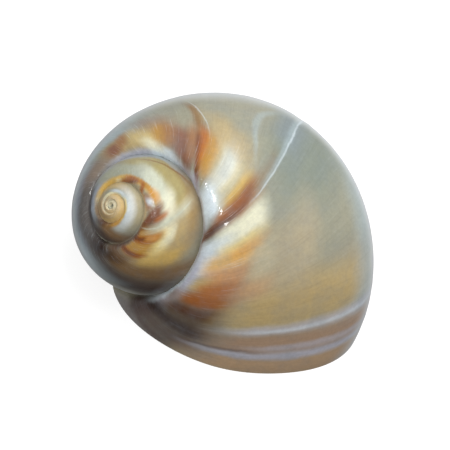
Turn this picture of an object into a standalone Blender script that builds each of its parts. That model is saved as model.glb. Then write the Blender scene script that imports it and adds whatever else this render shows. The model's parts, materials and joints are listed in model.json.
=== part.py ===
"""A moon snail shell: one hollow, coiled solid that rests on the flat rim of its aperture.

The animal builds the shell by adding to the edge of its aperture. That rim turns about the coil axis
and grows as it goes, so the whole shell is one outline swept along its own growth. Growth is counted
in whorls: 0 is the finished rim, -1 is the rim one whorl earlier, and so on to the nucleus. The rim
lies in the plane z = 0, and +Z points up through the body whorl.
"""

import math

import bmesh
import bpy
import numpy as np

MM = 0.001

# The coil: where it starts, and where its axis points from there.
NUCLEUS = np.array((-12.79, -7.01, 14.35)) * MM
AXIS_HEADING = math.radians(-136.8)
AXIS_RISE = math.radians(28.8)

# Growth: the logarithm of size, and how far a rim lies above its place in an even spiral, for its own
# size. Both are sums of powers of the growth coordinate.
SIZE_TERMS = (0.934, 0.0764, 0.0082)
LIFT_TERMS = (-8.17 * MM, -3.50 * MM, -1.044 * MM, -0.087 * MM)
FIRST_GROWTH = -4.4

# The coil is slightly oval: wider one way across the axis, narrower the other way.
OVAL = 0.038
OVAL_DIRECTION = math.radians(54.6)

# The rim in its own plane: a circle drawn out along one line, with slight corners. On the side of
# the coil axis it is cut off straight, along the axis, which gives the half-moon shape.
RIM_CENTRE = np.array((3.19, -1.53, 0.0)) * MM
RIM_RADIUS = 12.49 * MM
RIM_STRETCH = 0.100
RIM_STRETCH_DIRECTION = math.radians(4.0)
RIM_POINT = 0.031
RIM_CORNERS = 0.029
INNER_LIP_REACH = 8.4 * MM
INNER_LIP_DIRECTION = AXIS_HEADING - math.pi / 2
INNER_LIP_ROUNDING = 0.35 * MM
LEAST_FACING = 0.1

# The wall at the finished rim, and how much thicker the inner lip is. Younger whorls have thinner
# walls, by this power of their size.
WALL = 1.05 * MM
INNER_LIP_WALL = 3.0 * MM
INNER_LIP_SPREAD = 3
WALL_POWER = 0.5

# How finely the solid is faceted.
RIM_POINTS = 32
EARLY_RINGS_PER_WHORL = 20
LATE_RINGS_PER_WHORL = 30
LATE_GROWTH = -1.8

# The tube is swept a little past the finished rim, and the ground then cuts it off flat.
PAST_RIM = 0.014
GROUND_WIDTH = 80 * MM
GROUND_DEPTH = 10 * MM

# The hollow reaches a good whorl in from the aperture, and is cut in two stretches. Each one has its
# start and end, its distance inside the outer face, and the glaze that it leaves over the whorls that
# it coils around, both in wall thicknesses. These differ, so that no two faces coincide.
HOLLOW_STRETCHES = ((-0.56, 0.02, 1.0, 0.25), (-1.16, -0.52, 1.1, 0.33))
CLEAR_OF_STRETCH = 0.07

SHELL_COLOUR = (0.62, 0.47, 0.32, 1.0)
SHELL_ROUGHNESS = 0.28


def remove_startup_objects():
    for thing in list(bpy.data.objects):
        bpy.data.objects.remove(thing, do_unlink=True)


def coil_frame():
    """Two directions across the coil, the first one level, and the coil axis itself."""
    axis = np.array((
        math.cos(AXIS_RISE) * math.cos(AXIS_HEADING),
        math.cos(AXIS_RISE) * math.sin(AXIS_HEADING),
        math.sin(AXIS_RISE),
    ))
    level = np.array((-math.sin(AXIS_HEADING), math.cos(AXIS_HEADING), 0.0))
    return np.stack((level, np.cross(axis, level), axis))


def oval_matrix():
    """In coil axes, widens along OVAL_DIRECTION and narrows across it."""
    wide = OVAL * math.cos(2 * OVAL_DIRECTION)
    slant = OVAL * math.sin(2 * OVAL_DIRECTION)
    return np.array(((1 + wide, slant, 0), (slant, 1 - wide, 0), (0, 0, 1)))


COIL = coil_frame()
OVAL_OUT = oval_matrix()
OVAL_IN = np.linalg.inv(OVAL_OUT)


def powers(terms, growth):
    """Sum of terms times growth, growth squared and so on."""
    return sum(term * growth ** (power + 1) for power, term in enumerate(terms))


def rim_outline(walls_in):
    """The finished rim as points in the plane z = 0, moved inwards by so many wall thicknesses."""
    turn = np.linspace(0, 2 * math.pi, RIM_POINTS, endpoint=False)
    outer_lip = RIM_RADIUS * (
        1
        + RIM_STRETCH * np.cos(2 * (turn - RIM_STRETCH_DIRECTION))
        - RIM_POINT * np.sin(3 * turn)
        + RIM_CORNERS * np.cos(4 * turn)
    )
    facing = np.cos(turn - INNER_LIP_DIRECTION)
    inner_lip = INNER_LIP_REACH / np.maximum(facing, LEAST_FACING)
    nearness = np.exp(-outer_lip / INNER_LIP_ROUNDING) + np.exp(-inner_lip / INNER_LIP_ROUNDING)
    radius = -INNER_LIP_ROUNDING * np.log(nearness)
    wall = WALL + (INNER_LIP_WALL - WALL) * ((1 + facing) / 2) ** INNER_LIP_SPREAD
    reach = (radius - walls_in * wall)[:, None]
    across = np.stack((np.cos(turn), np.sin(turn), np.zeros(RIM_POINTS)), axis=1)
    return RIM_CENTRE + reach * across


def rim_at(growth, walls_in):
    """The rim as it stood at this growth, so many wall thicknesses inside the outer face."""
    size = math.exp(powers(SIZE_TERMS, growth))
    walls_in *= size ** (WALL_POWER - 1)
    from_nucleus = (rim_outline(walls_in) - NUCLEUS) @ COIL.T @ OVAL_IN.T
    angle = -2 * math.pi * growth
    turned = np.stack((
        math.cos(angle) * from_nucleus[:, 0] - math.sin(angle) * from_nucleus[:, 1],
        math.sin(angle) * from_nucleus[:, 0] + math.cos(angle) * from_nucleus[:, 1],
        from_nucleus[:, 2] + powers(LIFT_TERMS, growth),
    ), axis=1)
    return NUCLEUS + size * turned @ OVAL_OUT.T @ COIL


def even_steps(start, end, rings_per_whorl):
    return list(np.linspace(start, end, math.ceil((end - start) * rings_per_whorl) + 1))


def growth_steps(start, end):
    """Growth coordinates from start to end, closer together on the large last whorls."""
    if start >= LATE_GROWTH:
        return even_steps(start, end, LATE_RINGS_PER_WHORL)
    early = even_steps(start, LATE_GROWTH, EARLY_RINGS_PER_WHORL)
    return early + even_steps(LATE_GROWTH, end, LATE_RINGS_PER_WHORL)[1:]


def tube(name, rings):
    """A closed tube through the rings, which all have the same number of points."""
    shape = bmesh.new()
    first = [shape.verts.new(point) for point in rings[0]]
    loop = [shape.edges.new((first[i - 1], first[i])) for i in range(len(first))]
    start_cap = list(first)
    for ring in rings[1:]:
        grown = bmesh.ops.extrude_edge_only(shape, edges=loop)["geom"]
        loop = [part for part in grown if isinstance(part, bmesh.types.BMEdge)]
        verts = [part for part in grown if isinstance(part, bmesh.types.BMVert)]
        for vert, point in zip(verts, ring):
            vert.co = point
    shape.faces.new(start_cap)
    bmesh.ops.contextual_create(shape, geom=loop)
    bmesh.ops.recalc_face_normals(shape, faces=shape.faces)
    bmesh.ops.triangulate(shape, faces=shape.faces)
    if shape.calc_volume(signed=True) < 0:
        bmesh.ops.reverse_faces(shape, faces=shape.faces)
    mesh = bpy.data.meshes.new(name)
    shape.to_mesh(mesh)
    shape.free()
    made = bpy.data.objects.new(name, mesh)
    bpy.context.collection.objects.link(made)
    return made


def ground():
    """A block with its top at z = 0, wider than the shell."""
    bpy.ops.mesh.primitive_cube_add(size=1, location=(0, 0, -GROUND_DEPTH / 2))
    block = bpy.context.object
    block.name = "ground"
    block.scale = (GROUND_WIDTH, GROUND_WIDTH, GROUND_DEPTH)
    bpy.ops.object.transform_apply(location=True, scale=True)
    return block


def cut(target, cutter):
    """Takes the cutter out of the target, each of which may overlap itself, and hides the cutter."""
    cutter.hide_render = True
    cutter.display_type = "WIRE"
    boolean = target.modifiers.new(cutter.name, "BOOLEAN")
    boolean.operation = "DIFFERENCE"
    boolean.solver = "EXACT"
    boolean.use_self = True
    boolean.object = cutter


def whorls(name, start, end, walls_in=0.0):
    rings = [rim_at(growth, walls_in) for growth in growth_steps(start, end)]
    return tube(name, rings)


def hollow_stretch(index, start, end, walls_in, glaze):
    """The space inside one stretch of whorl, with the glazed whorls that it coils around kept out."""
    space = whorls(f"hollow_{index}", start, end, walls_in)
    cut(space, whorls(f"inner_whorls_{index}", FIRST_GROWTH, start - CLEAR_OF_STRETCH, -glaze))
    return space


def shell_material():
    material = bpy.data.materials.new("shell")
    material.use_nodes = True
    surface = material.node_tree.nodes["Principled BSDF"]
    surface.inputs["Base Color"].default_value = SHELL_COLOUR
    surface.inputs["Roughness"].default_value = SHELL_ROUGHNESS
    surface.inputs["Metallic"].default_value = 0.0
    return material


def build():
    remove_startup_objects()
    shell = whorls("shell", FIRST_GROWTH, PAST_RIM)
    shell.data.materials.append(shell_material())
    cut(shell, ground())
    for index, stretch in enumerate(HOLLOW_STRETCHES, 1):
        cut(shell, hollow_stretch(index, *stretch))
    shell.data.shade_smooth()


build()
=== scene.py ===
import json
import math

import bmesh
import bpy
import numpy as np
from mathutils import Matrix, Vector

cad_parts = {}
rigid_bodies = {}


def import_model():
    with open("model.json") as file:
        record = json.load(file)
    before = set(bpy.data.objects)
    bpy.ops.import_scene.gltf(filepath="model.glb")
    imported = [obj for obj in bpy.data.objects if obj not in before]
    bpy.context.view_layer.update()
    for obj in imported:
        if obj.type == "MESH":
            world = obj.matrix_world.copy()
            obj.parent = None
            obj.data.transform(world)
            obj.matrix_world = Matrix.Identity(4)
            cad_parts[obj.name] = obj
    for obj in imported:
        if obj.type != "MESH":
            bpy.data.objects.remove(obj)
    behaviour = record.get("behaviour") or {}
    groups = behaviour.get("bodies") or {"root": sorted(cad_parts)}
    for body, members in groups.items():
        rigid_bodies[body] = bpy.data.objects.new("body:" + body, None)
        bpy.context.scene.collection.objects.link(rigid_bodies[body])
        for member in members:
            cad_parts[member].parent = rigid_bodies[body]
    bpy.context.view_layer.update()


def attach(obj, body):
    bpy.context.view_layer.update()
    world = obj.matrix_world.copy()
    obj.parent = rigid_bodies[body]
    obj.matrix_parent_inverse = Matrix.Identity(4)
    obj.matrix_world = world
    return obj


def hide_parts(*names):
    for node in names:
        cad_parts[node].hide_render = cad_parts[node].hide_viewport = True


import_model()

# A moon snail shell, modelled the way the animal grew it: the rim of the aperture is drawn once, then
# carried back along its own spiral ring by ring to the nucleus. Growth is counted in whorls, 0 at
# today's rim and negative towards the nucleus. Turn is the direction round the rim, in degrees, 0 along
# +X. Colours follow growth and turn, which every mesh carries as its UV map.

MM = 0.001

# ---------------------------------------------------------------- the coil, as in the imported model

# Where the coil starts, and where its axis points from there.
NUCLEUS = np.array((-12.79, -7.01, 14.35)) * MM
AXIS_HEADING = math.radians(-136.8)
AXIS_RISE = math.radians(28.8)

# Growth, as sums of powers: the logarithm of size, and how far a rim lies above its place in an even
# spiral, for its own size.
SIZE_TERMS = (0.934, 0.0764, 0.0082)
LIFT_TERMS = (-8.17 * MM, -3.50 * MM, -1.044 * MM, -0.087 * MM)

# The coil is slightly oval: wider one way across the axis, narrower the other way.
OVAL = 0.038
OVAL_DIRECTION = math.radians(54.6)

# The rim: a circle drawn out along one line, with slight corners, cut off straight at the inner lip.
RIM_CENTRE = np.array((3.19, -1.53, 0.0)) * MM
RIM_RADIUS = 12.49 * MM
RIM_STRETCH = 0.100
RIM_STRETCH_DIRECTION = math.radians(4.0)
RIM_POINT = 0.031
RIM_CORNERS = 0.029
INNER_LIP_REACH = 8.4 * MM
INNER_LIP_DIRECTION = AXIS_HEADING - math.pi / 2
INNER_LIP_ROUNDING = 0.35 * MM
LEAST_FACING = 0.1

# The wall at the finished rim. Younger whorls have thinner walls, by this power of their size.
WALL = 1.05 * MM
INNER_LIP_WALL = 3.0 * MM
INNER_LIP_SPREAD = 3
WALL_POWER = 0.5

# How finely the coil is drawn: points round the rim, rings in a whorl and levels of subdivision.
RIM_POINTS = 40
FIRST_GROWTH = -5.0
LATE_GROWTH = -1.25
LATE_RINGS_PER_WHORL = 44
EARLY_RINGS_PER_WHORL = 15
FINE = 2
TURN_START = math.degrees(INNER_LIP_DIRECTION)


def coil_axes():
    """Two directions across the coil, the first one level, and the coil axis itself."""
    axis = np.array((
        math.cos(AXIS_RISE) * math.cos(AXIS_HEADING),
        math.cos(AXIS_RISE) * math.sin(AXIS_HEADING),
        math.sin(AXIS_RISE),
    ))
    level = np.array((-math.sin(AXIS_HEADING), math.cos(AXIS_HEADING), 0.0))
    return np.stack((level, np.cross(axis, level), axis))


COIL = coil_axes()
WIDE = OVAL * math.cos(2 * OVAL_DIRECTION)
SLANT = OVAL * math.sin(2 * OVAL_DIRECTION)
OVAL_OUT = np.array(((1 + WIDE, SLANT, 0), (SLANT, 1 - WIDE, 0), (0, 0, 1)))
OVAL_IN = np.linalg.inv(OVAL_OUT)


def powers(terms, growth):
    """Sum of terms times growth, growth squared and so on."""
    return sum(term * growth ** (power + 1) for power, term in enumerate(terms))


def size_at(growth):
    return np.exp(powers(SIZE_TERMS, growth))


def lift_at(growth):
    return powers(LIFT_TERMS, growth)


def stood_up(points):
    """From the shell's resting place to a round coil that stands upright on its nucleus."""
    return (points - NUCLEUS) @ COIL.T @ OVAL_IN.T


def laid_down(points):
    """The way back from stood_up."""
    return NUCLEUS + points @ OVAL_OUT.T @ COIL


def rim_radius(turn):
    """Distance from the rim's centre to its outer face: a drawn-out circle, cut off at the inner lip."""
    outer = RIM_RADIUS * (
        1
        + RIM_STRETCH * np.cos(2 * (turn - RIM_STRETCH_DIRECTION))
        - RIM_POINT * np.sin(3 * turn)
        + RIM_CORNERS * np.cos(4 * turn)
    )
    inner = INNER_LIP_REACH / np.maximum(np.cos(turn - INNER_LIP_DIRECTION), LEAST_FACING)
    nearness = np.exp(-outer / INNER_LIP_ROUNDING) + np.exp(-inner / INNER_LIP_ROUNDING)
    return -INNER_LIP_ROUNDING * np.log(nearness)


def wall_at(turn):
    facing = np.cos(turn - INNER_LIP_DIRECTION)
    return WALL + (INNER_LIP_WALL - WALL) * ((1 + facing) / 2) ** INNER_LIP_SPREAD


# ---------------------------------------------------------------- modelling

def deselect_all():
    bpy.ops.object.select_all(action="DESELECT")


def coordinates(mesh):
    points = np.empty(len(mesh.vertices) * 3)
    mesh.vertices.foreach_get("co", points)
    return points.reshape(-1, 3)


def set_coordinates(mesh, points):
    mesh.vertices.foreach_set("co", np.asarray(points, dtype=np.float32).ravel())
    mesh.update()


def pick(piece):
    deselect_all()
    piece.select_set(True)
    bpy.context.view_layer.objects.active = piece


def apply_modifier(piece, kind, **settings):
    pick(piece)
    modifier = piece.modifiers.new(kind.lower(), kind)
    for name, value in settings.items():
        setattr(modifier, name, value)
    bpy.ops.object.modifier_apply(modifier=modifier.name)


def carry_rim(start, end):
    """Moves the selected ring, which stands upright, from one growth to another."""
    about = {"center_override": (0, 0, 0)}
    ratio = float(size_at(end) / size_at(start))
    bpy.ops.transform.rotate(value=2 * math.pi * (end - start), orient_axis="Z", **about)
    bpy.ops.transform.resize(value=(ratio, ratio, ratio), **about)
    rise = float(size_at(end) * (lift_at(end) - lift_at(start)))
    bpy.ops.transform.translate(value=(0, 0, rise))


def growth_steps(start, end):
    """From start back to end, in finer steps on the large last whorls."""
    def steps(a, b, rings):
        return list(np.linspace(a, b, max(2, math.ceil((a - b) * rings) + 1)))
    if end >= LATE_GROWTH:
        return steps(start, end, LATE_RINGS_PER_WHORL)
    late = steps(start, LATE_GROWTH, LATE_RINGS_PER_WHORL)
    return late + steps(LATE_GROWTH, end, EARLY_RINGS_PER_WHORL)[1:]


def swept_cage(name, growths):
    """Draws today's rim, carries it to the first growth, and extrudes it back along the coil."""
    deselect_all()
    bpy.ops.mesh.primitive_circle_add(vertices=RIM_POINTS, radius=RIM_RADIUS)
    cage = bpy.context.object
    cage.name = name
    turn = math.radians(TURN_START) + np.arange(RIM_POINTS) * 2 * math.pi / RIM_POINTS
    across = np.stack((np.cos(turn), np.sin(turn), 0 * turn), axis=1)
    set_coordinates(cage.data, stood_up(RIM_CENTRE + rim_radius(turn)[:, None] * across))
    bpy.ops.object.mode_set(mode="EDIT")
    bpy.ops.mesh.select_all(action="SELECT")
    carry_rim(0.0, growths[0])
    for start, end in zip(growths, growths[1:]):
        bpy.ops.mesh.extrude_edges_move()
        carry_rim(start, end)
    bpy.ops.object.mode_set(mode="OBJECT")
    return cage


def filled_out(grid):
    """Subdivision draws a cage in, so each of its points is first moved out by as much."""
    around = np.roll(grid, 1, axis=1) - 2 * grid + np.roll(grid, -1, axis=1)
    along = np.zeros_like(grid)
    along[1:-1] = grid[:-2] - 2 * grid[1:-1] + grid[2:]
    return grid - (around + along) / 6


def set_growth_map(mesh, growths):
    """UV map: growth across, and the share of a full turn from the inner lip up."""
    ring, point = np.divmod(np.arange(len(mesh.vertices)), RIM_POINTS)
    layer = mesh.uv_layers.new(name="growth")
    corners = np.empty(len(mesh.loops), dtype=int)
    mesh.loops.foreach_get("vertex_index", corners)
    faces = corners.reshape(-1, 4)
    share = point[faces] / RIM_POINTS
    share[(share.max(axis=1) - share.min(axis=1) > 0.5)[:, None] & (share < 0.5)] += 1.0
    uv = np.stack((np.asarray(growths)[ring[faces]], share), axis=-1)
    layer.data.foreach_set("uv", uv.astype(np.float32).ravel())


def growth_map(mesh):
    """Growth and turn in radians at each vertex, read back from the UV map."""
    uv = np.empty(len(mesh.loops) * 2)
    mesh.uv_layers["growth"].data.foreach_get("uv", uv)
    corners = np.empty(len(mesh.loops), dtype=int)
    mesh.loops.foreach_get("vertex_index", corners)
    at = np.zeros((len(mesh.vertices), 2))
    at[corners] = uv.reshape(-1, 2)
    return at[:, 0], math.radians(TURN_START) + at[:, 1] * 2 * math.pi


def swept_tube(name, start, end, fine):
    """An open tube from one growth back to another, smooth, in its place in the shell."""
    growths = growth_steps(start, end)
    cage = swept_cage(name, growths)
    set_growth_map(cage.data, growths)
    grid = coordinates(cage.data).reshape(len(growths), RIM_POINTS, 3)
    set_coordinates(cage.data, laid_down(filled_out(grid).reshape(-1, 3)))
    apply_modifier(
        cage, "SUBSURF", levels=fine, render_levels=fine, uv_smooth="NONE",
        boundary_smooth="ALL",
    )
    return cage


def ring_centre(growth):
    """Where the rim's centre lay at this growth, for many growths at once."""
    centre = stood_up(RIM_CENTRE[None])[0]
    angle = -2 * math.pi * growth
    turned = np.stack((
        np.cos(angle) * centre[0] - np.sin(angle) * centre[1],
        np.sin(angle) * centre[0] + np.cos(angle) * centre[1],
        centre[2] + lift_at(growth),
    ), axis=1)
    return laid_down(size_at(growth)[:, None] * turned)


def move_inwards(tube, walls):
    """Moves a tube's skin towards its own middle by so many wall thicknesses, or outwards."""
    growth, turn = growth_map(tube.data)
    points = coordinates(tube.data)
    inset = walls(growth) * wall_at(turn) * size_at(growth) ** (WALL_POWER - 1)
    share = inset / rim_radius(turn)
    centre = ring_centre(growth)
    set_coordinates(tube.data, points + share[:, None] * (centre - points))


def close_ends(tube):
    edit(tube)
    bpy.ops.mesh.select_all(action="DESELECT")
    bpy.ops.mesh.select_non_manifold(extend=False)
    bpy.ops.mesh.edge_face_add()
    bpy.ops.mesh.select_all(action="SELECT")
    bpy.ops.mesh.normals_make_consistent(inside=False)
    bpy.ops.object.mode_set(mode="OBJECT")


# ---------------------------------------------------------------- growth relief

# Growth lines slant towards the suture between these turns, by so many whorls late and early in
# growth, and lean back at the side, though not by the finished rim.
SLANT_TURNS = (-120.0, -175.0)
SLANT_LATE = 0.08
SLANT_EARLY = 0.12
SLANT_LATE_GROWTH = -0.9
SLANT_EARLY_GROWTH = -1.2
LEAN_TURNS = (-108.0, -40.0)
LEAN = 0.025
LEAN_GROWTHS = (-0.08, -0.20)

# Fine growth lines: how many in a whorl, and how high, in mm on the body whorl.
GROWTH_LINES = ((23, 0.020), (47, 0.016), (83, 0.010))
WHORLS_OF_LINES = 6
PATCHES_ROUND = 8
# Scars where growth stopped for a while: growth, half width in whorls, height in mm.
GROWTH_SCARS = (
    (-0.2380, 0.0040, 0.030),
    (-0.2500, 0.0075, -0.070),
    (-0.4050, 0.0050, 0.030),
    (-0.3300, 0.0040, -0.020),
    (-0.0650, 0.0030, 0.020),
    (-0.0300, 0.0030, 0.022),
    (-1.1950, 0.0050, 0.040),
    (-1.2050, 0.0040, -0.030),
)
# Beside the suture the lines rise this much higher, between these turns.
SUTURE_CRINKLE = 2.5
CRINKLE_TURNS = (-165, -122)
# The relief shrinks towards the nucleus by this power of size, and fades out just above the ground.
RELIEF_POWER = 0.8
GROUND_FADE = 1.5 * MM


def smooth_step(value, start, end):
    share = np.clip((value - start) / (end - start), 0, 1)
    return share * share * (3 - 2 * share)


def growth_line(growth, turn):
    """The growth line through a point: lines slant forward near the suture and lean back at the side."""
    degrees = np.degrees(turn)
    near_suture = np.clip((degrees - SLANT_TURNS[0]) / (SLANT_TURNS[1] - SLANT_TURNS[0]), 0, 1) ** 2
    side = np.clip((degrees - LEAN_TURNS[0]) / (LEAN_TURNS[1] - LEAN_TURNS[0]), 0, 1)
    side *= np.clip((growth - LEAN_GROWTHS[0]) / (LEAN_GROWTHS[1] - LEAN_GROWTHS[0]), 0, 1)
    early = np.clip(
        (growth - SLANT_LATE_GROWTH) / (SLANT_EARLY_GROWTH - SLANT_LATE_GROWTH), 0, 1
    )
    return growth + (SLANT_LATE + (SLANT_EARLY - SLANT_LATE) * early) * near_suture + LEAN * side


def uneven_lines(line, turn, count, seed):
    """Smooth ridges of uneven height across growth, which fade and return along their length."""
    random = np.random.default_rng(seed)
    heights = random.uniform(-1, 1, (WHORLS_OF_LINES * count, PATCHES_ROUND + 1))
    place = (line - FIRST_GROWTH) * count
    along = (turn / (2 * math.pi) % 1) * PATCHES_ROUND
    low, low_along = np.floor(place).astype(int), np.floor(along).astype(int)
    mix = place - low
    mix = mix * mix * (3 - 2 * mix)
    mix_along = along - low_along
    low = np.clip(low, 0, len(heights) - 2)
    before = heights[low, low_along] * (1 - mix_along) + heights[low, low_along + 1] * mix_along
    after = heights[low + 1, low_along] * (1 - mix_along) + heights[low + 1, low_along + 1] * mix_along
    return before * (1 - mix) + after * mix


def add_relief(tube):
    growth, turn = growth_map(tube.data)
    line = growth_line(growth, turn)
    degrees = np.degrees(turn)
    near_suture = 1 - smooth_step(degrees, *CRINKLE_TURNS)
    height = np.zeros(len(growth))
    for seed, (count, rise) in enumerate(GROWTH_LINES):
        height += rise * uneven_lines(line, turn, count, seed)
    height *= 1 + SUTURE_CRINKLE * near_suture
    for place, half_width, rise in GROWTH_SCARS:
        height += rise * (1 + near_suture) * np.exp(-(((line - place) / half_width) ** 2))
    height *= MM * size_at(growth) ** RELIEF_POWER
    normals = np.empty(len(tube.data.vertices) * 3)
    tube.data.vertices.foreach_get("normal", normals)
    points = coordinates(tube.data)
    ground = smooth_step(points[:, 2], 0, GROUND_FADE)
    outwards = np.sign(np.einsum("ij,ij->i", normals.reshape(-1, 3), points - ring_centre(growth)))
    set_coordinates(
        tube.data, points + (height * ground * outwards)[:, None] * normals.reshape(-1, 3)
    )


# ---------------------------------------------------------------- the shell

# The tube runs a little past the finished rim, and the ground cuts it off flat. Each stretch of the
# hollow has its start and end, its distance inside the outer face, and the glaze that it leaves over
# the whorls inside it, both in wall thicknesses.
PAST_RIM = 0.014
GROUND_SIZE = (0.08, 0.08, 0.01)
HOLLOW_STRETCHES = ((-0.56, 0.02, 1.0, 0.25), (-1.16, -0.52, 1.1, 0.33))
CLEAR_OF_STRETCH = 0.07
BEYOND_RIM = 1.06 * RIM_RADIUS
WELD = 0.002 * MM
SMOOTH_ANGLE = math.radians(40)

# Grooves sharper than this are softened, clear of the rim: how far round the nucleus, and how often.
CREASE = math.radians(30)
RIM_CLEARANCE = 0.4 * MM
SOFTENING = ((1.0, 6), (5.2 * MM, 8), (2.2 * MM, 12))


def ground_block():
    """A block with its top in the plane that the shell rests on."""
    deselect_all()
    bpy.ops.mesh.primitive_cube_add(size=1, location=(0, 0, -GROUND_SIZE[2] / 2), scale=GROUND_SIZE)
    bpy.ops.object.transform_apply(location=True, scale=True)
    return bpy.context.object


def cut(piece, cutter, use_self=True):
    apply_modifier(
        piece, "BOOLEAN", operation="DIFFERENCE", solver="EXACT", use_self=use_self,
        object=cutter, material_mode="TRANSFER",
    )
    bpy.data.objects.remove(cutter, do_unlink=True)


def hollow_stretch(index, start, end, walls_in, glaze):
    """The space inside one stretch of whorl, with the glazed whorls that it coils around kept out."""
    space = swept_tube(f"hollow_{index}", end, start, 1)
    move_inwards(space, lambda growth: walls_in)
    close_ends(space)
    space.data.materials.append(bpy.data.materials["inner face"])
    whorls = swept_tube("inner_whorls", start - CLEAR_OF_STRETCH, FIRST_GROWTH, 1)
    move_inwards(whorls, lambda growth: -glaze)
    close_ends(whorls)
    whorls.data.materials.append(bpy.data.materials["callus"])
    cut(space, whorls)
    return space


def keep_resting_spot_plain(shell):
    """The second whorl just touches the ground, beyond the rim. That small flat stays outer face."""
    outer_face = shell.data.materials.find("outer face")
    lip_edge = shell.data.materials.find("lip edge")
    for face in shell.data.polygons:
        from_rim = (face.center - Vector(RIM_CENTRE)).length
        if face.material_index == lip_edge and from_rim > BEYOND_RIM:
            face.material_index = outer_face


def edit(piece):
    """Opens one piece for editing by its points."""
    pick(piece)
    bpy.ops.object.mode_set(mode="EDIT")
    bpy.ops.mesh.select_mode(type="VERT")


def weld(piece):
    """Closes the hairline seams that cutting leaves."""
    edit(piece)
    bpy.ops.mesh.select_all(action="SELECT")
    bpy.ops.mesh.remove_doubles(threshold=WELD)
    bpy.ops.mesh.dissolve_degenerate(threshold=WELD / 2)
    bpy.ops.object.mode_set(mode="OBJECT")


def soften_creases(piece, reach, repeat):
    """Fills the grooves where whorls meet, this far round the nucleus, by smoothing what is beside them."""
    edit(piece)
    mesh = bmesh.from_edit_mesh(piece.data)
    for vert in mesh.verts:
        vert.select = False
    for edge in mesh.edges:
        high = min(vert.co.z for vert in edge.verts) > RIM_CLEARANCE
        near = (edge.verts[0].co - Vector(NUCLEUS)).length < reach
        creased = len(edge.link_faces) == 2 and edge.calc_face_angle_signed(0.0) < -CREASE
        if high and near and creased:
            edge.select = True
            for vert in edge.verts:
                vert.select = True
    mesh.select_flush_mode()
    bmesh.update_edit_mesh(piece.data)
    bpy.ops.mesh.select_more()
    bpy.ops.mesh.vertices_smooth(factor=0.5, repeat=repeat)
    bpy.ops.object.mode_set(mode="OBJECT")


def model_shell():
    shell = swept_tube("grown_shell", PAST_RIM, FIRST_GROWTH, FINE)
    add_relief(shell)
    close_ends(shell)
    shell.data.materials.append(bpy.data.materials["outer face"])
    block = ground_block()
    block.data.materials.append(bpy.data.materials["lip edge"])
    cut(shell, block)
    keep_resting_spot_plain(shell)
    for number, stretch in enumerate(HOLLOW_STRETCHES, 1):
        cut(shell, hollow_stretch(number, *stretch), use_self=False)
    weld(shell)
    for reach, repeat in SOFTENING:
        soften_creases(shell, reach, repeat)
    deselect_all()
    shell.select_set(True)
    bpy.ops.object.shade_smooth_by_angle(angle=SMOOTH_ANGLE)
    return shell


# ---------------------------------------------------------------- colours and marks

def tone(red, green, blue):
    """A colour as seen on a screen, 0 to 255, as linear light."""
    def linear(value):
        value /= 255
        return value / 12.92 if value <= 0.04045 else ((value + 0.055) / 1.055) ** 2.4
    return (linear(red), linear(green), linear(blue), 1.0)


# Painted reflection: the pale colour mixed in where the last whorl is seen edge on.
PAINTED_EDGE_SHEEN = tone(232, 238, 242)
SILVER = tone(222, 234, 240)
CREAM = tone(236, 234, 206)
IVORY = tone(246, 236, 190)
BUTTER = tone(234, 212, 140)
PARCHMENT = tone(215, 206, 170)
STRAW = tone(207, 186, 128)
GOLD = tone(216, 176, 84)
SAND = tone(206, 182, 136)
HONEY = tone(190, 142, 58)
ORANGE = tone(216, 154, 66)
APRICOT = tone(226, 184, 112)
PEACH = tone(206, 154, 104)
SIENNA = tone(158, 114, 76)
COCOA = tone(138, 95, 76)
RUST = tone(180, 104, 36)
AMBER = tone(156, 86, 20)
CHESTNUT = tone(118, 64, 34)
BROWN = tone(92, 52, 24)
UMBER = tone(72, 46, 32)
BLACK_BROWN = tone(46, 26, 16)
PLUM = tone(60, 42, 42)
VIOLET_BROWN = tone(92, 76, 72)
LAVENDER = tone(192, 194, 208)
SLATE = tone(158, 166, 178)
SLATE_BROWN = tone(100, 94, 91)
PALE_BLUE = tone(168, 184, 188)
BLUE_GREY = tone(120, 132, 138)
OLIVE_GREY = tone(152, 150, 130)
GREEN_GREY = tone(120, 130, 118)
PALE_GREEN = tone(164, 166, 144)
MIST = tone(200, 204, 184)
OLIVE_YELLOW = tone(160, 146, 90)
OLIVE_BROWN = tone(130, 94, 50)
TAN = tone(188, 162, 108)
BEIGE = tone(176, 163, 134)
PEBBLE = tone(132, 126, 124)
FAWN = tone(142, 124, 110)
ROSE_TAN = tone(172, 141, 115)
ROSE_SAND = tone(198, 164, 128)

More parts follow.
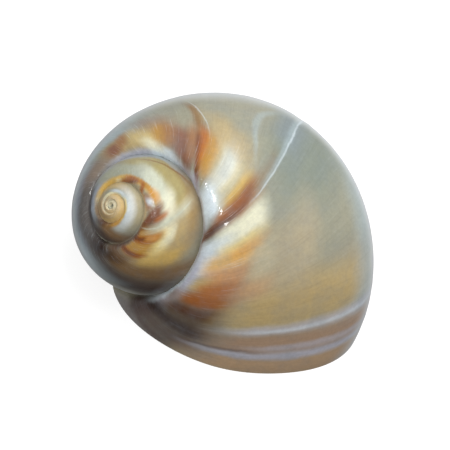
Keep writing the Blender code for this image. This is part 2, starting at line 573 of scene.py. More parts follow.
# Washes and brush marks on the shell, painted one over another. Each has its colour, growth line and
# turn at its middle, half width in whorls, half length in degrees of turn, slant and bend in whorls,
# softness of its long edges and of its ends, and strength.
MARKS = (
    # nucleus and first whorls
    (SAND, -3.70, -120, 1.05, 120, 0, 0, 0.1, 0.3, 1.0),
    (CREAM, -4.60, -120, 0.45, 120, 0, 0, 0.3, 0.3, 0.5),
    # Partly the first whorls' cream and partly painted light: a wash along their sutures that lightens the
    # shade in those grooves.
    (CREAM, -3.40, -171, 0.90, 9, 0, 0, 0.2, 0.7, 0.5),
    (OLIVE_BROWN, -2.86, -134, 0.16, 26, 0, 0, 0.7, 0.7, 0.6),
    (GOLD, -3.05, -104, 0.45, 18, 0, 0, 0.4, 0.6, 0.35),
    (TAN, -2.40, -100, 0.28, 30, 0, 0, 0.5, 0.5, 0.9),
    (PALE_GREEN, -2.25, -92, 0.14, 20, 0, 0, 0.5, 0.5, 0.4),
    (IVORY, -2.49, -168, 0.15, 14, 0, 0, 0.5, 0.5, 0.95),
    (SILVER, -2.45, -150, 0.08, 12, 0, 0, 0.6, 0.6, 0.6),
    (SILVER, -2.22, -130, 0.17, 22, 0, 0, 0.7, 0.7, 0.65),
    (BUTTER, -2.28, -155, 0.06, 9, 0, 0, 0.6, 0.6, 0.8),
    (GOLD, -2.17, -166, 0.09, 16, 0.02, 0, 0.6, 0.5, 0.95),
    (HONEY, -2.06, -162, 0.07, 18, 0.02, 0, 0.6, 0.5, 0.95),
    # The dark rows below, at the end of this whorl, are partly the shell's brown and partly painted shade,
    # on the side of the whorl that faces down and to the left.
    (OLIVE_BROWN, -1.96, -125, 0.06, 60, 0.01, 0, 0.6, 0.3, 0.9),
    (BROWN, -1.92, -164, 0.045, 20, 0.02, 0, 0.8, 0.5, 0.85),
    (SLATE_BROWN, -1.88, -140, 0.05, 24, 0, 0, 0.7, 0.6, 0.7),
    (UMBER, -1.87, -98, 0.06, 28, 0, 0, 0.7, 0.5, 0.9),
    # the second whorl, from its dark start to its dark end
    # The slate rows below are partly the shell's blue-grey and partly a painted reflection of the white
    # surroundings along the whorl's upper left edge.
    (SLATE, -1.72, -136, 0.12, 20, 0, 0, 0.5, 0.6, 0.9),
    (SLATE, -1.58, -104, 0.07, 18, 0, 0, 0.6, 0.6, 0.8),
    (OLIVE_BROWN, -1.82, -168, 0.07, 12, 0, 0, 0.6, 0.6, 0.7),
    (BLACK_BROWN, -1.740, -108, 0.095, 24, 0.012, 0, 0.6, 0.4, 1.0),
    (PALE_GREEN, -1.51, -128, 0.11, 22, 0, 0, 0.5, 0.6, 0.95),
    (OLIVE_YELLOW, -1.38, -100, 0.09, 12, 0, 0, 0.5, 0.7, 0.8),
    (MIST, -1.31, -119, 0.105, 21, 0.02, 0, 0.5, 0.6, 0.95),
    (OLIVE_YELLOW, -1.26, -78, 0.13, 20, 0, 0, 0.5, 0.5, 0.9),
    (CREAM, -1.20, -108, 0.06, 14, 0, 0, 0.6, 0.7, 0.8),
    (TAN, -1.12, -80, 0.07, 24, 0, 0, 0.6, 0.5, 0.9),
    (BUTTER, -1.11, -110, 0.050, 15, 0, 0, 0.6, 0.6, 0.95),
    (CREAM, -1.13, -99, 0.030, 8, 0, 0, 0.8, 0.8, 0.7),
    (GOLD, -1.045, -94, 0.032, 28, 0, 0, 0.8, 0.5, 0.7),
    (SLATE, -1.45, -74, 0.07, 13, 0.06, 0, 0.4, 0.5, 0.9),
    (PALE_BLUE, -1.34, -54, 0.10, 10, 0, 0, 0.4, 0.5, 0.95),
    (OLIVE_BROWN, -1.305, -72, 0.011, 17, 0.090, 0, 0.8, 0.4, 0.75),
    (OLIVE_BROWN, -1.20, -58, 0.12, 12, 0, 0, 0.6, 0.7, 0.5),
    (VIOLET_BROWN, -1.400, -62, 0.060, 9, 0, 0, 0.7, 0.8, 0.3),
    (GOLD, -1.57, -163, 0.14, 12, 0, 0, 0.5, 0.7, 0.9),
    (IVORY, -1.52, -166, 0.018, 9, 0, 0, 0.8, 0.7, 0.6),
    (SAND, -1.26, -168, 0.14, 13, 0, 0, 0.4, 0.6, 0.95),
    (GOLD, -1.43, -149, 0.07, 9, 0.05, 0, 0.6, 0.7, 0.9),
    (HONEY, -1.36, -139, 0.045, 10, 0.080, 0, 0.7, 0.5, 0.95),
    (RUST, -1.452, -158, 0.037, 15, 0.028, 0, 0.7, 0.4, 0.75),
    (AMBER, -1.442, -157, 0.028, 15, 0.030, 0, 0.7, 0.4, 0.75),
    (BROWN, -1.430, -160, 0.010, 11, 0.022, 0, 0.9, 0.5, 0.45),
    (AMBER, -1.360, -151, 0.014, 14, -0.012, 0, 0.8, 0.5, 0.85),
    (RUST, -1.290, -150, 0.035, 12, 0.010, 0, 0.7, 0.6, 0.6),
    (ORANGE, -1.294, -129, 0.028, 9, 0.020, 0, 0.7, 0.7, 0.7),
    # Painted highlight: a small pale patch where the crinkled glaze on the second whorl glints.
    (SILVER, -1.288, -146, 0.014, 9, 0.010, 0, 0.9, 0.8, 0.75),
    (CHESTNUT, -1.208, -143, 0.040, 25, -0.034, 0.033, 0.5, 0.4, 0.92),
    (BROWN, -1.193, -133, 0.014, 17, -0.008, 0.006, 0.8, 0.5, 0.8),
    (RUST, -1.204, -120, 0.011, 11, 0, 0, 0.8, 0.7, 0.7),
    (HONEY, -1.105, -137, 0.065, 20, 0, 0, 0.6, 0.5, 0.95),
    (AMBER, -1.130, -138, 0.016, 26, -0.008, 0, 0.7, 0.4, 0.95),
    (BROWN, -1.130, -144, 0.007, 18, -0.007, 0, 0.9, 0.5, 0.6),
    (ORANGE, -1.137, -125, 0.011, 9, 0, 0, 0.8, 0.7, 0.75),
    (AMBER, -1.060, -140, 0.012, 22, -0.004, 0, 0.7, 0.4, 0.95),
    (BROWN, -1.059, -146, 0.006, 18, -0.004, 0, 0.9, 0.5, 0.5),
    (BROWN, -1.010, -146, 0.030, 22, 0, 0, 0.8, 0.5, 0.8),
    (BROWN, -1.075, -168, 0.075, 12, 0, 0, 0.5, 0.6, 0.75),
    (MIST, -1.177, -100, 0.0160, 36, 0, 0, 0.9, 0.5, 0.65),
    (MIST, -1.176, -110, 0.0025, 44, 0, 0, 0.9, 0.3, 0.6),
    # The dark rows below, at the end of the second whorl, are partly the shell's brown and partly painted
    # shade, on the side that faces down and to the left.
    (OLIVE_BROWN, -0.990, -95, 0.034, 60, 0, 0, 0.7, 0.3, 0.85),
    (UMBER, -0.928, -112, 0.035, 86, 0, 0, 0.8, 0.3, 0.9),
    (BLACK_BROWN, -0.900, -78, 0.026, 48, 0, 0, 0.7, 0.5, 0.75),
    (BLACK_BROWN, -0.988, -140, 0.022, 16, 0, 0, 0.8, 0.6, 0.6),
    (BLACK_BROWN, -0.927, -161, 0.054, 24, 0, 0, 0.6, 0.5, 1.0),
    # the body whorl: dark, then grey, with pale flames below the suture
    (LAVENDER, -0.380, -171, 0.300, 10, 0, 0, 0.3, 0.6, 0.7),
    (SLATE_BROWN, -0.800, -150, 0.120, 40, 0, 0, 0.4, 0.4, 0.95),
    # This slate row is partly the shell's blue-grey and partly a painted reflection of the white
    # surroundings along the whorl's upper left edge.
    (SLATE, -0.800, -126, 0.080, 14, 0, 0, 0.5, 0.6, 0.75),
    (PALE_BLUE, -0.690, -104, 0.190, 26, 0, 0, 0.4, 0.4, 0.95),
    (SLATE, -0.700, -137, 0.060, 9, 0, 0, 0.6, 0.7, 0.6),
    (SILVER, -0.745, -104, 0.120, 18, 0, 0, 0.6, 0.7, 0.85),
    (FAWN, -0.655, -152, 0.060, 12, 0, 0, 0.6, 0.6, 0.8),
    (LAVENDER, -0.575, -168, 0.055, 8, 0, 0, 0.5, 0.7, 0.4),
    (TAN, -0.555, -146, 0.060, 14, 0, 0, 0.6, 0.6, 0.8),
    (COCOA, -0.596, -147, 0.020, 11, 0.006, 0, 0.8, 0.7, 0.95),
    (SIENNA, -0.563, -138, 0.014, 11, 0.010, 0, 0.8, 0.7, 0.85),
    (SILVER, -0.473, -166, 0.037, 13, 0, 0, 0.6, 0.5, 0.95),
    (STRAW, -0.512, -142, 0.028, 15, 0, 0, 0.7, 0.6, 0.9),
    (CREAM, -0.495, -153, 0.026, 8, 0, 0, 0.8, 0.8, 0.75),
    (SIENNA, -0.480, -123, 0.040, 11, 0, 0, 0.7, 0.8, 0.5),
    (HONEY, -0.470, -137, 0.020, 13, 0, 0, 0.8, 0.6, 0.85),
    (SIENNA, -0.450, -137, 0.018, 13, 0, 0, 0.8, 0.6, 0.85),
    (COCOA, -0.416, -141, 0.024, 17, 0, 0, 0.6, 0.5, 0.95),
    (CHESTNUT, -0.402, -148, 0.013, 18, 0, 0, 0.8, 0.7, 0.55),
    (SIENNA, -0.398, -133, 0.013, 16, 0, 0, 0.8, 0.6, 0.85),
    (LAVENDER, -0.364, -165, 0.014, 9, 0, 0, 0.8, 0.6, 0.9),
    (CHESTNUT, -0.377, -141, 0.0095, 20, -0.0120, 0.004, 0.7, 0.5, 0.95),
    (BROWN, -0.380, -140, 0.004, 16, -0.010, 0.002, 0.9, 0.6, 0.6),
    (OLIVE_BROWN, -0.395, -104, 0.009, 14, -0.008, 0, 0.9, 0.5, 0.85),
    (RUST, -0.372, -130, 0.0125, 15, -0.004, 0, 0.8, 0.6, 0.95),
    (HONEY, -0.353, -131, 0.016, 18, 0, 0, 0.8, 0.6, 0.95),
    (SILVER, -0.299, -160, 0.032, 19, 0, 0, 0.55, 0.5, 1.0),
    (PARCHMENT, -0.313, -126, 0.027, 16, 0, 0, 0.7, 0.6, 0.95),
    (SILVER, -0.317, -126, 0.013, 17, 0, 0, 0.8, 0.8, 0.5),
    (SAND, -0.318, -107, 0.034, 7, 0, 0, 0.7, 0.8, 0.35),
    (GOLD, -0.275, -125, 0.010, 14, 0, 0, 0.8, 0.6, 0.75),
    (HONEY, -0.267, -126, 0.007, 14, 0, 0, 0.8, 0.7, 0.9),
    (SIENNA, -0.254, -128, 0.016, 22, 0, 0, 0.5, 0.5, 0.95),
    (CHESTNUT, -0.2465, -150, 0.0100, 36, -0.0120, 0, 0.7, 0.3, 0.95),
    (BROWN, -0.2435, -155, 0.0070, 24, -0.0120, 0, 0.9, 0.4, 0.85),
    (UMBER, -0.2500, -134, 0.0040, 17, -0.0060, 0, 0.9, 0.6, 0.4),
    (RUST, -0.2580, -131, 0.0080, 16, 0, 0, 0.8, 0.6, 0.45),
    (SILVER, -0.192, -150, 0.033, 17, 0, 0, 0.35, 0.6, 1.0),
    (CREAM, -0.222, -126, 0.017, 20, 0, 0, 0.6, 0.4, 0.9),
    (SILVER, -0.213, -142, 0.012, 8, 0, 0, 0.8, 0.8, 0.55),
    (BUTTER, -0.198, -126, 0.010, 16, 0, 0, 0.8, 0.5, 0.85),
    (LAVENDER, -0.127, -165, 0.072, 11, 0, 0, 0.5, 0.6, 0.95),
    (APRICOT, -0.178, -131, 0.016, 20, 0, 0, 0.8, 0.5, 0.95),
    (ORANGE, -0.187, -120, 0.009, 12, 0, 0, 0.9, 0.7, 0.7),
    (PEACH, -0.154, -129, 0.016, 18, 0, 0, 0.8, 0.6, 0.95),
    (STRAW, -0.140, -147, 0.012, 8, 0, 0, 0.8, 0.8, 0.7),
    (RUST, -0.128, -131, 0.016, 17, 0, 0, 0.8, 0.6, 0.85),
    (AMBER, -0.107, -134, 0.013, 20, 0, 0, 0.8, 0.5, 0.9),
    # The dark browns and plum below, by the finished rim, are partly the shell's colour and partly painted
    # shade, on the side that faces down and to the left.
    (BROWN, -0.084, -136, 0.013, 22, 0, 0, 0.8, 0.4, 0.95),
    (UMBER, -0.066, -141, 0.014, 25, 0, 0, 0.8, 0.4, 0.7),
    (PLUM, -0.047, -141, 0.015, 28, 0, 0, 0.8, 0.4, 0.9),
    (FAWN, -0.100, -163, 0.020, 9, 0, 0, 0.8, 0.7, 0.8),
    (PEBBLE, 0.031, -146, 0.036, 20, 0, 0, 0.5, 0.4, 0.95),
    (BLACK_BROWN, -0.026, -163, 0.033, 11, 0, 0, 0.6, 0.6, 0.95),
    (ROSE_TAN, -0.265, -170, 0.070, 5, 0, 0, 0.6, 0.8, 0.6),
    (BROWN, -0.300, -173, 0.110, 3, 0, 0, 0.5, 0.8, 0.6),
    (VIOLET_BROWN, -0.022, -138, 0.014, 30, 0, 0, 0.8, 0.4, 0.85),
    (VIOLET_BROWN, -0.003, -142, 0.008, 20, 0, 0, 0.9, 0.6, 0.8),
    # round the back of the body whorl
    (BLUE_GREY, -0.345, 8, 0.030, 46, 0, 0, 0.8, 0.5, 0.7),
    (TAN, -0.405, 5, 0.028, 50, 0, 0, 0.8, 0.5, 0.6),
    (SILVER, -0.3720, 15, 0.0030, 66, 0, 0, 0.9, 0.5, 0.38),
    (PALE_BLUE, -0.450, 0, 0.022, 52, 0, 0, 0.8, 0.5, 0.6),
    (BEIGE, -0.500, -15, 0.045, 55, 0, 0, 0.8, 0.5, 0.75),
    (TAN, -0.600, -10, 0.045, 60, 0, 0, 0.8, 0.5, 0.55),
    (PALE_BLUE, -0.5500, -10, 0.0050, 66, 0, 0, 0.9, 0.3, 0.45),
    (BLUE_GREY, -0.690, -15, 0.045, 55, 0, 0, 0.8, 0.5, 0.55),
    (ROSE_TAN, -0.775, -10, 0.040, 60, 0, 0, 0.8, 0.5, 0.6),
    (SILVER, -0.6350, -10, 0.0035, 64, 0, 0, 0.9, 0.3, 0.35),
    # the side and the base of the body whorl
    (TAN, -0.335, -102, 0.045, 9, 0, 0, 0.7, 0.8, 0.5),
    (GREEN_GREY, -0.222, -58, 0.052, 36, 0, 0, 0.6, 0.5, 0.85),
    (BLUE_GREY, -0.250, -52, 0.020, 18, 0, 0, 0.8, 0.7, 0.75),
    (BEIGE, -0.138, -92, 0.050, 25, 0, 0, 0.7, 0.4, 0.9),
    (TAN, -0.088, -25, 0.026, 91, 0, 0, 0.7, 0.18, 0.85),
    (PALE_BLUE, -0.090, -20, 0.090, 12, 0, 0, 0.5, 0.8, 0.7),
    (ROSE_TAN, -0.042, -22, 0.016, 91, 0, 0, 0.7, 0.18, 0.9),
    (ROSE_SAND, -0.011, -20, 0.014, 94, 0, 0, 0.7, 0.18, 0.9),
    (OLIVE_BROWN, -0.254, -96, 0.008, 14, 0, 0, 0.9, 0.6, 0.35),
    (PALE_BLUE, -0.2475, -34, 0.0040, 68, 0, 0, 0.9, 0.25, 0.45),
    (SILVER, -0.2450, -37, 0.0012, 75, 0, 0, 0.9, 0.15, 0.42),
    (PALE_BLUE, -0.298, -74, 0.0045, 23, 0.002, 0.016, 0.9, 0.5, 0.45),
    (SILVER, -0.386, -100, 0.0016, 13, -0.014, 0, 0.9, 0.6, 0.35),
    (PEACH, -0.124, -111, 0.013, 11, 0, 0, 0.8, 0.8, 0.5),
    (PARCHMENT, -0.160, -108, 0.020, 8, 0, 0, 0.8, 0.8, 0.35),
    (LAVENDER, -0.0625, -20, 0.0055, 90, 0, 0, 0.9, 0.22, 0.6),
    (SILVER, -0.0610, -20, 0.0022, 78, 0, 0, 0.9, 0.25, 0.40),
    (LAVENDER, -0.0370, -10, 0.0035, 76, 0, 0, 0.9, 0.25, 0.50),
    # Painted light: a pale wash along the suture by the finished rim that lightens the shade where the
    # whorls meet.
    (SILVER, -0.118, -171, 0.060, 6, 0, 0, 0.7, 0.7, 0.9),
    (LAVENDER, -0.0265, -20, 0.0045, 96, 0, 0, 0.9, 0.20, 0.85),
    (UMBER, -0.0320, -106, 0.0020, 22, 0, 0, 0.9, 0.6, 0.50),
)

# How ragged the marks are: across growth in whorls, and at their ends in degrees.
RAGGED_EDGE = 0.010
RAGGED_END = 9.0
STREAKED_END = 4.0

# Noise drawn out along the growth lines: scale across and along them, detail and roughness.
RAGGED = (30.0, 0.035, 4.0, 0.6)
STREAKS = (90.0, 0.03, 3.0, 0.55)
FINE_LINES = (420.0, 0.035, 3.0, 0.6)

# Noise that runs the same way in all directions: scale, detail and roughness.
BLOTCHES = (260.0, 5.0, 0.65)
GRAIN = (2400.0, 3.0, 0.7)
CRINKLE = (1900.0, 2.0, 0.6)

# Fine pale lines show most towards the suture, and not at the finished rim; by the suture they are partly
# painted glints off the crinkled glaze.
PALE_LINES_AND_GLINTS = (0.56, 0.78, 0.0, 0.4)
PALE_LINE_AND_GLINT_TURNS = (-95.0, -130.0, 0.12, 1.0)
PALE_LINE_AND_GLINT_GROWTHS = (-0.08, -0.12, 0.2, 1.0)

# How much darker and lighter the streaks, the fine lines and the grain make the colours.
STREAK_SHADE = (0.25, 0.75, 0.965, 1.03)
FINE_SHADE = (0.25, 0.50, 0.91, 1.01)
GRAIN_SHADE = (0.3, 0.7, 0.95, 1.05)
GLAZE_SHADE = (0.3, 0.7, 0.90, 1.04)
BLOTCH_AMOUNT = (0.42, 0.68, 0.0, 0.22)

# The painted edge sheen, a pale colour that stands in for the white surroundings reflected where the last
# whorl is seen edge on: how edge on it shows, and where it starts along growth and away from the finished
# rim.
EDGE_SHEEN_FACING = (0.58, 1.0, 0.0, 0.95)
EDGE_SHEEN_GROWTHS = (-0.91, -0.80)
EDGE_SHEEN_FROM_RIM = (-0.08, -0.16)
EDGE_SHEEN_TURNS = (-115.0, -60.0)

# The glaze is crinkled beside the suture, and round this growth line on the second whorl.
CRINKLED_TURNS = (-140.0, -155.0)
CRINKLED_CLAW = -1.27
CLAW_REACH = (0.09, 0.03)
CLAW_TURNS = (-118.0, -132.0)
STREAK_HEIGHT = 1.5
CRINKLE_HEIGHT = 6.0
GLAZE_HEIGHT = 0.03 * MM

# The glaze inside gets darker away from the aperture, over this stretch of growth.
INSIDE_FADE = (-0.35, 0.0)


# ---------------------------------------------------------------- finishes

class Finish:
    """A material whose nodes are added one by one; values are numbers, colours or other nodes' outputs."""

    def __init__(self, name):
        self.material = bpy.data.materials.new(name)
        self.material.use_nodes = True
        self.tree = self.material.node_tree
        self.surface = self.tree.nodes["Principled BSDF"]

    def node(self, kind, values=(), **settings):
        made = self.tree.nodes.new(kind)
        for name, value in settings.items():
            setattr(made, name, value)
        for key, value in dict(values).items():
            self.give(made.inputs[key], value)
        return made

    def give(self, socket, value):
        if isinstance(value, bpy.types.NodeSocket):
            self.tree.links.new(value, socket)
        else:
            socket.default_value = value

    def calc(self, operation, *values):
        return self.node("ShaderNodeMath", dict(enumerate(values)), operation=operation).outputs[0]

    def level(self, value, start, end, low=0.0, high=1.0, shape="LINEAR"):
        """Goes from low at start to high at end, and stays level beyond them."""
        ends = {"From Min": start, "From Max": end, "To Min": low, "To Max": high}
        return self.node(
            "ShaderNodeMapRange", {"Value": value, **ends}, interpolation_type=shape
        ).outputs[0]

    def ramp(self, value, start, end, low=0.0, high=1.0):
        return self.level(value, start, end, low, high, "SMOOTHSTEP")

    def noise(self, vector, scale, detail=2.0, roughness=0.5):
        return self.node(
            "ShaderNodeTexNoise",
            {"Vector": vector, "Scale": scale, "Detail": detail, "Roughness": roughness},
        ).outputs[0]

    def vector(self, x, y, z=0.0):
        return self.node("ShaderNodeCombineXYZ", {0: x, 1: y, 2: z}).outputs[0]

    def mix(self, amount, under, over, blend_type="MIX"):
        made = self.node("ShaderNodeMix", data_type="RGBA", blend_type=blend_type)
        self.give(made.inputs[0], amount)
        self.give(made.inputs[6], under)
        self.give(made.inputs[7], over)
        return made.outputs[2]

    def shaded(self, colour, shade):
        grey = self.node("ShaderNodeCombineColor", {0: shade, 1: shade, 2: shade}).outputs[0]
        return self.mix(1.0, colour, grey, "MULTIPLY")

    def set(self, **values):
        for name, value in values.items():
            self.give(self.surface.inputs[name.replace("_", " ")], value)


def mark_group():
    """One soft brush mark across growth and turn, as a node group that gives its amount from 0 to 1."""
    group = bpy.data.node_groups.new("brush mark", "ShaderNodeTree")
    names = (
        "Growth", "Turn", "Across", "Along", "Half width", "Half length", "Slant", "Bend",
        "Soft edge", "Soft end", "Strength",
    )
    for name in names:
        group.interface.new_socket(name, in_out="INPUT", socket_type="NodeSocketFloat")
    group.interface.new_socket("Amount", in_out="OUTPUT", socket_type="NodeSocketFloat")
    given = group.nodes.new("NodeGroupInput").outputs

    def calc(operation, *values, kind="ShaderNodeMath"):
        node = group.nodes.new(kind)
        node.operation = operation
        for number, value in enumerate(values):
            if isinstance(value, bpy.types.NodeSocket):
                group.links.new(value, node.inputs[number])
            else:
                node.inputs[number].default_value = value
        return node.outputs[0]

    def fade(value, soft):
        node = group.nodes.new("ShaderNodeMapRange")
        node.interpolation_type = "SMOOTHSTEP"
        node.clamp = False  # a smooth step is level past its ends as it is
        group.links.new(value, node.inputs["Value"])
        group.links.new(calc("SUBTRACT", 1.0, soft), node.inputs["From Min"])
        group.links.new(calc("ADD", 1.0, soft), node.inputs["From Max"])
        node.inputs["To Min"].default_value = 1.0
        node.inputs["To Max"].default_value = 0.0
        return node.outputs[0]

    along = calc("DIVIDE", calc("SUBTRACT", given["Turn"], given["Along"]), given["Half length"])
    middle = calc("MULTIPLY_ADD", along, given["Slant"], given["Across"])
    middle = calc("MULTIPLY_ADD", calc("MULTIPLY", along, along), given["Bend"], middle)
    across = calc("DIVIDE", calc("SUBTRACT", given["Growth"], middle), given["Half width"])
    amount = calc(
        "MULTIPLY",
        fade(calc("ABSOLUTE", across), given["Soft edge"]),
        fade(calc("ABSOLUTE", along), given["Soft end"]),
    )
    amount = calc("MULTIPLY", amount, given["Strength"])
    group.links.new(amount, group.nodes.new("NodeGroupOutput").inputs["Amount"])
    return group


def growth_and_turn(finish):
    """Growth in whorls and turn in degrees, from the UV map."""
    uv = finish.node("ShaderNodeUVMap", uv_map="growth").outputs[0]
    parts = finish.node("ShaderNodeSeparateXYZ", {0: uv}).outputs
    turn = finish.calc("MULTIPLY_ADD", parts[1], 360.0, TURN_START)
    return parts[0], turn


def growth_line_nodes(finish, growth, turn):
    """The growth line through a point, as growth_line works it out for the relief."""
    near_suture = finish.level(turn, *SLANT_TURNS)
    near_suture = finish.calc("POWER", near_suture, 2.0)
    slant = finish.level(growth, SLANT_LATE_GROWTH, SLANT_EARLY_GROWTH, SLANT_LATE, SLANT_EARLY)
    side = finish.level(turn, *LEAN_TURNS, 0.0, LEAN)
    leaning = finish.level(growth, *LEAN_GROWTHS)
    line = finish.calc("MULTIPLY_ADD", near_suture, slant, growth)
    return finish.calc("MULTIPLY_ADD", side, leaning, line)


def drawn_out_noise(finish, line, turn, lines, along, detail, roughness):
    """Noise drawn out along the growth lines: so many to a whorl and to a degree of turn."""
    place = finish.vector(finish.calc("MULTIPLY", line, lines), finish.calc("MULTIPLY", turn, along))
    return finish.noise(place, 1.0, detail, roughness)


def marked(finish, line, turn, streaks):
    """All the marks, painted one over another with ragged edges."""
    ragged = finish.calc("SUBTRACT", drawn_out_noise(finish, line, turn, *RAGGED), 0.5)
    line = finish.calc("MULTIPLY_ADD", ragged, RAGGED_EDGE, line)
    turn = finish.calc("MULTIPLY_ADD", ragged, RAGGED_END, turn)
    turn = finish.calc("MULTIPLY_ADD", finish.calc("SUBTRACT", streaks, 0.5), STREAKED_END, turn)
    group = mark_group()
    colour = OLIVE_GREY
    for hue, *shape in MARKS:
        mark = finish.node("ShaderNodeGroup", enumerate((line, turn, *shape)), node_tree=group)
        colour = finish.mix(mark.outputs[0], colour, hue)
    return colour


def lined(finish, colour, line, turn, place, streaks, fine):
    """Blotches, fine pale lines, which by the suture are partly painted glints, and uneven shade over the
    marks.
    """
    blotches = finish.ramp(finish.noise(place, *BLOTCHES), *BLOTCH_AMOUNT)
    colour = finish.mix(blotches, colour, BLUE_GREY)
    pale_lines_and_glints = finish.ramp(fine, *PALE_LINES_AND_GLINTS)
    pale_lines_and_glints = finish.calc("MULTIPLY", pale_lines_and_glints, finish.ramp(turn, *PALE_LINE_AND_GLINT_TURNS))
    pale_lines_and_glints = finish.calc("MULTIPLY", pale_lines_and_glints, finish.ramp(line, *PALE_LINE_AND_GLINT_GROWTHS))
    colour = finish.mix(pale_lines_and_glints, colour, SILVER)
    shade = finish.ramp(streaks, *STREAK_SHADE)
    shade = finish.calc("MULTIPLY", shade, finish.ramp(fine, *FINE_SHADE))
    grain = finish.ramp(finish.noise(place, *GRAIN), *GRAIN_SHADE)
    return finish.shaded(colour, finish.calc("MULTIPLY", shade, grain))


def painted_edge_sheen(finish, colour, growth, line, turn):
    """Painted reflection: a pale colour mixed in where the last whorl is seen edge on, in place of the
    white surroundings reflected at grazing angles.
    """
    facing = finish.node("ShaderNodeLayerWeight", {"Blend": 0.5}).outputs["Facing"]
    edge_sheen = finish.ramp(facing, *EDGE_SHEEN_FACING)
    edge_sheen = finish.calc("MULTIPLY", edge_sheen, finish.ramp(growth, *EDGE_SHEEN_GROWTHS))
    away_from_rim = finish.calc(
        "MAXIMUM", finish.ramp(line, *EDGE_SHEEN_FROM_RIM), finish.ramp(turn, *EDGE_SHEEN_TURNS)
    )
    return finish.mix(finish.calc("MULTIPLY", edge_sheen, away_from_rim), colour, PAINTED_EDGE_SHEEN)


def glaze_relief(finish, line, turn, place, streaks, fine):
    """Growth lines too fine for the mesh, and the crinkled glaze."""
    from_claw = finish.calc("ABSOLUTE", finish.calc("SUBTRACT", line, CRINKLED_CLAW))
    on_claw = finish.calc(
        "MULTIPLY", finish.ramp(from_claw, *CLAW_REACH), finish.ramp(turn, *CLAW_TURNS)
    )
    crinkled = finish.calc("MAXIMUM", finish.ramp(turn, *CRINKLED_TURNS), on_claw)
    crinkle = finish.calc("MULTIPLY", finish.noise(place, *CRINKLE), crinkled)
    relief = finish.calc("MULTIPLY_ADD", streaks, STREAK_HEIGHT, fine)
    relief = finish.calc("MULTIPLY_ADD", crinkle, CRINKLE_HEIGHT, relief)
    bump = {"Height": relief, "Strength": 0.4, "Distance": GLAZE_HEIGHT}
    return finish.node("ShaderNodeBump", bump).outputs[0]


def shell_finish():
    finish = Finish("outer face")
    growth, turn = growth_and_turn(finish)
    line = growth_line_nodes(finish, growth, turn)
    place = finish.node("ShaderNodeTexCoord").outputs["Object"]
    streaks = drawn_out_noise(finish, line, turn, *STREAKS)
    fine = drawn_out_noise(finish, line, turn, *FINE_LINES)
    colour = marked(finish, line, turn, streaks)
    colour = lined(finish, colour, line, turn, place, streaks, fine)
    colour = painted_edge_sheen(finish, colour, growth, line, turn)
    relief = glaze_relief(finish, line, turn, place, streaks, fine)
    finish.set(Base_Color=colour, Roughness=0.42, Specular_IOR_Level=0.35, Normal=relief)
    finish.set(Coat_Weight=0.5, Coat_Roughness=0.08, Coat_Normal=relief)
    finish.set(Subsurface_Weight=0.05, Subsurface_Scale=0.6 * MM)
    finish.set(Subsurface_Radius=(1.0, 0.7, 0.45))
    finish.set(Sheen_Weight=0.12, Sheen_Roughness=0.3)


def glazed_finish(name, deep, near_lip, across, along):
    """A smooth glaze, darker deep inside, with faint lines that follow growth or run along the coil."""
    finish = Finish(name)
    growth, turn = growth_and_turn(finish)
    colour = finish.mix(finish.ramp(growth, *INSIDE_FADE), deep, near_lip)
    place = finish.vector(finish.calc("MULTIPLY", growth, across), finish.calc("MULTIPLY", turn, along))
    colour = finish.shaded(colour, finish.ramp(finish.noise(place, 1.0, 3.0), *GLAZE_SHADE))
    finish.set(Base_Color=colour, Roughness=0.25, Coat_Weight=0.5, Coat_Roughness=0.08)


shell_finish()
glazed_finish("inner face", COCOA, SAND, 70.0, 0.02)
glazed_finish("callus", SAND, CREAM, 20.0, 0.05)
lip_edge = Finish("lip edge")
lip_edge.set(Base_Color=PARCHMENT, Roughness=0.4, Coat_Weight=0.3)

shell = model_shell()
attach(shell, "root")
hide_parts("shell")

# ---------------------------------------------------------------- floor, light and camera

# The photograph's right and up, seen from the camera, and the way from the nucleus to the camera.
VIEW_RIGHT = Vector((0.9683, 0.1732, 0.1798))
VIEW_UP = Vector((-0.2497, 0.6719, 0.6973))
TO_CAMERA = Vector((0.0, -0.7201, 0.6939))
CAMERA_PLACE = Vector((-12.79, -223.52, 222.98)) * MM

# In pixels of the photograph: its width, the camera's distance from the picture, and how far its
# middle lies to the right of the nucleus and above it.
PICTURE_WIDTH = 450
PICTURE_DISTANCE = 2800
MIDDLE_FROM_NUCLEUS = (111.38, -19.21)
SENSOR = 36
LENS = PICTURE_DISTANCE * SENSOR / PICTURE_WIDTH


def place_camera():
    bpy.ops.object.camera_add(location=CAMERA_PLACE)
    camera = bpy.context.object
    across, above = MIDDLE_FROM_NUCLEUS
    aim = across * VIEW_RIGHT + above * VIEW_UP - PICTURE_DISTANCE * TO_CAMERA
    aim = aim.normalized()
    up = (VIEW_UP - VIEW_UP.project(aim)).normalized()
    right = aim.cross(up)
    turned = camera.matrix_world.copy()
    for column, axis in enumerate((right, up, -aim)):
        for row in range(3):
            turned[row][column] = axis[row]
    camera.matrix_world = turned
    camera.data.lens = LENS
    camera.data.sensor_width = SENSOR
    camera.data.clip_start = 10 * MM
    bpy.context.scene.camera = camera


SHELL_MIDDLE = Vector((0, 0, 0.01))

# Name, place, size across and down, power, and whether it glints on the shell.
SOFTBOXES = (
    ("overhead", (0.16, 0.06, 0.42), (0.50, 0.50), 1.6, False),
    ("fill", (-0.05, -0.42, 0.30), (0.40, 0.30), 0.75, False),
    ("front_left", (-0.22, -0.30, 0.27), (0.040, 0.040), 0.45, True),
)


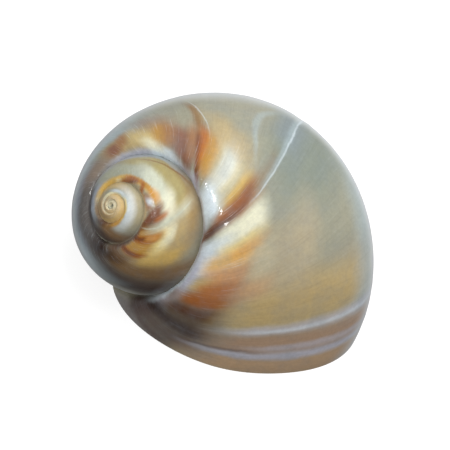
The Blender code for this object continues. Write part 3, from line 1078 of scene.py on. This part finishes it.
def softbox(name, place, size, power, glossy):
    bpy.ops.object.light_add(type="AREA", location=place)
    light = bpy.context.object
    light.name = name
    light.rotation_euler = (SHELL_MIDDLE - Vector(place)).to_track_quat("-Z", "Y").to_euler()
    light.data.shape = "RECTANGLE"
    light.data.size, light.data.size_y = size
    light.data.energy = power
    light.visible_glossy = glossy


WHITE = (1, 1, 1, 1)
FLOOR_SIZE = 6
FLOOR_GREY = (0.30, 0.30, 0.30, 1)
FLOOR_GLOW = 0.80


def lay_floor():
    """A white sheet lit from underneath, as on a light table, which throws no light on the shell."""
    deselect_all()
    bpy.ops.mesh.primitive_plane_add(size=FLOOR_SIZE)
    floor = bpy.context.object
    floor.name = "floor"
    finish = Finish("floor")
    finish.set(Base_Color=FLOOR_GREY, Roughness=0.9, Specular_IOR_Level=0.0)
    finish.set(Emission_Color=WHITE, Emission_Strength=FLOOR_GLOW)
    floor.data.materials.append(finish.material)
    floor.visible_diffuse = False
    floor.visible_glossy = False


# The tent is brightest in this direction, and fades between these shares of facing it.
SKY_DIRECTION = Vector((0.30, 0.50, 0.81)).normalized()
SKY_FADE = (-0.4, 0.9)
SKY_DARK = 0.12
SKY_BRIGHT = 0.72


def light_up():
    """A white tent round the shell: bright overhead and to the right, dim below and to the left."""
    world = bpy.data.worlds.new("studio")
    bpy.context.scene.world = world
    world.use_nodes = True
    nodes, links = world.node_tree.nodes, world.node_tree.links
    background = nodes["Background"]
    background.inputs["Color"].default_value = WHITE
    direction = nodes.new("ShaderNodeTexCoord")
    towards = nodes.new("ShaderNodeVectorMath")
    towards.operation = "DOT_PRODUCT"
    towards.inputs[1].default_value = SKY_DIRECTION
    strength = nodes.new("ShaderNodeMapRange")
    strength.interpolation_type = "SMOOTHSTEP"
    strength.inputs["From Min"].default_value, strength.inputs["From Max"].default_value = SKY_FADE
    strength.inputs["To Min"].default_value = SKY_DARK
    strength.inputs["To Max"].default_value = SKY_BRIGHT
    links.new(direction.outputs["Generated"], towards.inputs[0])
    links.new(towards.outputs["Value"], strength.inputs["Value"])
    links.new(strength.outputs[0], background.inputs["Strength"])
    for softbox_settings in SOFTBOXES:
        softbox(*softbox_settings)


lay_floor()
light_up()
place_camera()
bpy.context.scene.view_settings.view_transform = "Standard"
